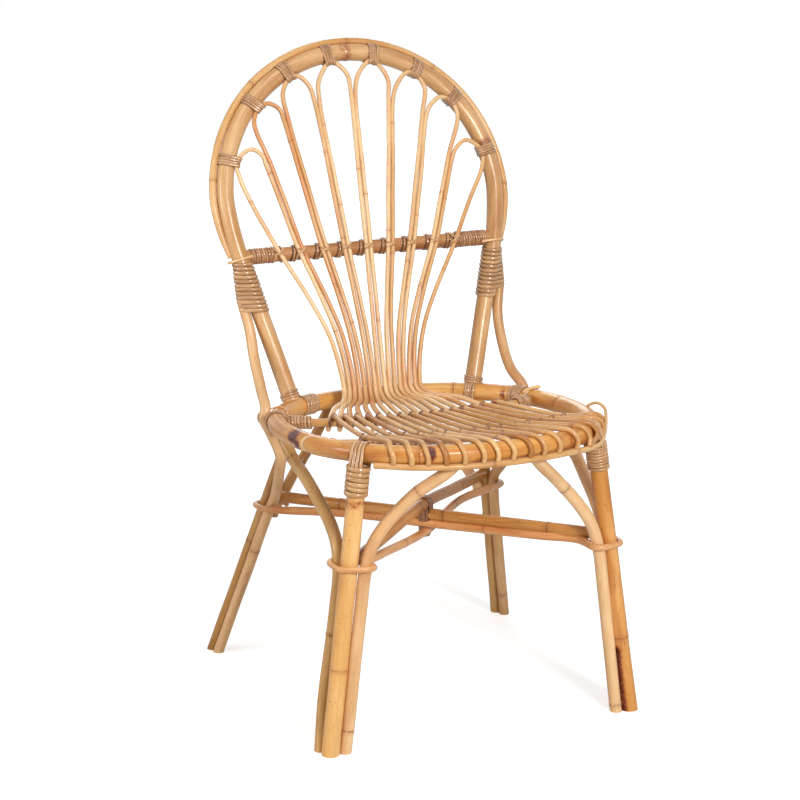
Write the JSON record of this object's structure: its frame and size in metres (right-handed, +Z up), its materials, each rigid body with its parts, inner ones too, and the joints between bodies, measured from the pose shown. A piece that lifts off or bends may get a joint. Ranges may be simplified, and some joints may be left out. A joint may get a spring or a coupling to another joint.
{
  "type": "rattan chair",
  "caption": "Rattan side chair with a round open seat of curved canes, a hoop back whose canes fan out from the seat, and splayed legs tied by crossed stretchers.",
  "frame": {"origin": "on the floor, under the middle of the overall box", "axes": "+Z up, -Y the way the chair faces, +X to the left hand of a person who sits in it"},
  "size_m": [0.5125, 0.5969, 0.942],
  "materials": {
    "ring_cane": "varnished rattan, honey, satin",
    "hoop_cane": "varnished rattan, golden brown, satin",
    "thin_cane": "thin varnished cane, light",
    "crossbar": "cane wrapped in brown peel, satin",
    "bar_cane": "thin varnished cane",
    "seat_canes": "pale varnished cane with darker patches",
    "back_canes": "pale varnished cane with darker patches",
    "peel": "brown rattan peel, glossy",
    "leg_cane": "varnished rattan, honey, with dark nodes",
    "brace_cane": "varnished rattan, light honey",
    "side_cane": "varnished rattan, light honey",
    "stretcher_cane": "varnished rattan, honey",
    "tie_cane": "thin varnished cane, reddish"
  },
  "bodies": {
    "root": {"seat_ring": "ring_cane", "back_hoop": "hoop_cane", "outer_hoop_cane": "thin_cane", "crossbar": "crossbar", "seat_bar_rear": "bar_cane", "seat_bar_front": "bar_cane", "front_rim": "thin_cane", "seat_strand_01": "seat_canes", "seat_strand_02": "seat_canes", "seat_strand_03": "seat_canes", "seat_strand_04": "seat_canes", "seat_strand_05": "seat_canes", "seat_strand_06": "seat_canes", "seat_strand_07": "seat_canes", "seat_strand_08": "seat_canes", "seat_strand_09": "seat_canes", "seat_strand_10": "seat_canes", "seat_strand_11": "seat_canes", "seat_strand_12": "seat_canes", "seat_strand_13": "seat_canes", "seat_strand_14": "seat_canes", "seat_strand_15": "seat_canes", "seat_strand_16": "seat_canes", "back_loop_1": "back_canes", "hoop_binding_1": "peel", "back_loop_2": "back_canes", "hoop_binding_2": "peel", "back_loop_3": "back_canes", "hoop_binding_3": "peel", "back_loop_4": "back_canes", "hoop_binding_4": "peel", "back_loop_5": "back_canes", "hoop_binding_5": "peel", "back_loop_6": "back_canes", "hoop_binding_6": "peel", "back_loop_7": "back_canes", "hoop_binding_7": "peel", "back_loop_8": "back_canes", "hoop_binding_8": "peel", "front_leg_left": "leg_cane", "rear_leg_left": "leg_cane", "front_brace_left": "brace_cane", "side_brace_left": "brace_cane", "rear_brace_left": "brace_cane", "side_cane_left": "side_cane", "junction_binding_left": "peel", "leg_binding_left": "peel", "front_leg_right": "leg_cane", "rear_leg_right": "leg_cane", "front_brace_right": "brace_cane", "side_brace_right": "brace_cane", "rear_brace_right": "brace_cane", "side_cane_right": "side_cane", "junction_binding_right": "peel", "leg_binding_right": "peel", "stretcher_left": "stretcher_cane", "stretcher_tie_left": "tie_cane", "stretcher_right": "stretcher_cane", "stretcher_tie_right": "tie_cane", "stretcher_lashing": "peel"}
  },
  "joints": []
}
